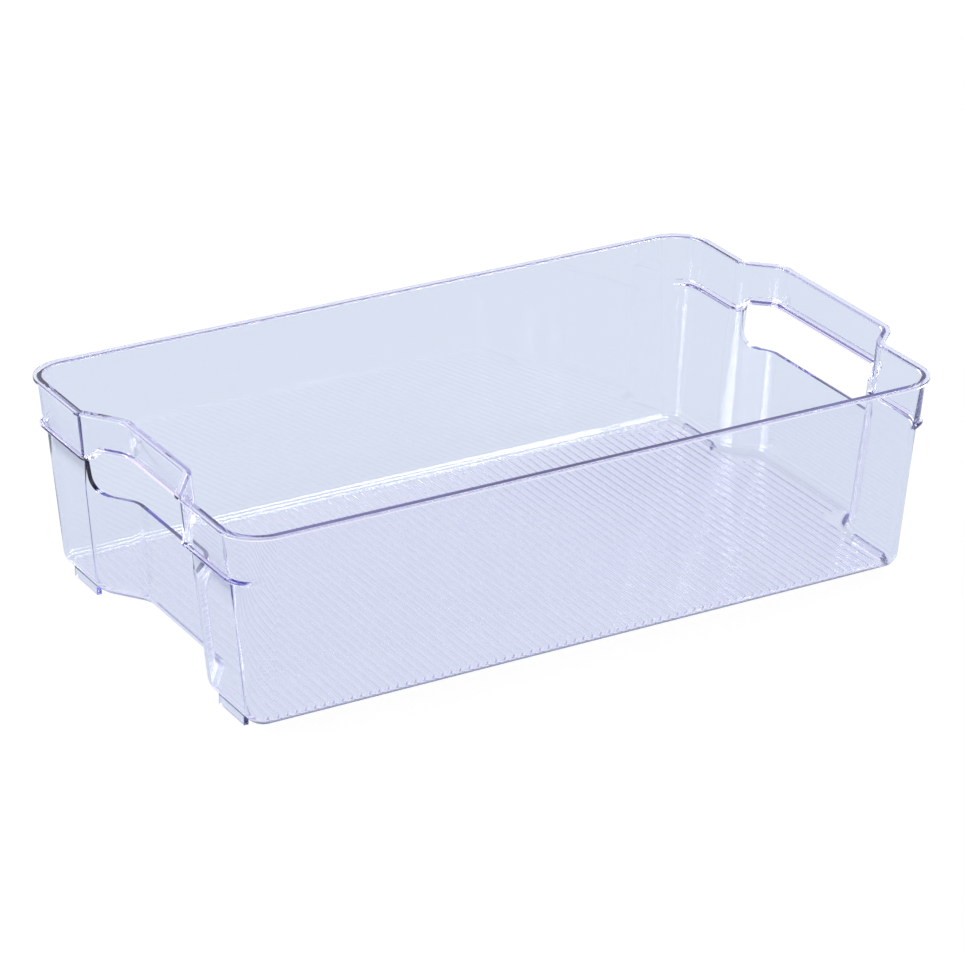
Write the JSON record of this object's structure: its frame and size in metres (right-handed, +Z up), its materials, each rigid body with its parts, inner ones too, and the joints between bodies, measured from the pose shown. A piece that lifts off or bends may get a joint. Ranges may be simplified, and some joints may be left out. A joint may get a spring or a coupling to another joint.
{
  "type": "fridge drawer organizer bin",
  "caption": "Clear rectangular storage bin for a fridge shelf or drawer, with a ribbed floor, a flat rim lip, and a hand slot under a handle bar at each short end.",
  "frame": {"origin": "under the middle of the whole bin, level with the undersides of its feet", "axes": "+Z up; +X along the length, from the recessed end to the proud end; +Y across the width"},
  "size_m": [0.3824, 0.223, 0.1],
  "materials": {
    "clear_plastic": "clear moulded plastic with a faint blue tint, polished"
  },
  "bodies": {
    "root": {"organizer_bin": "clear_plastic"}
  },
  "joints": []
}
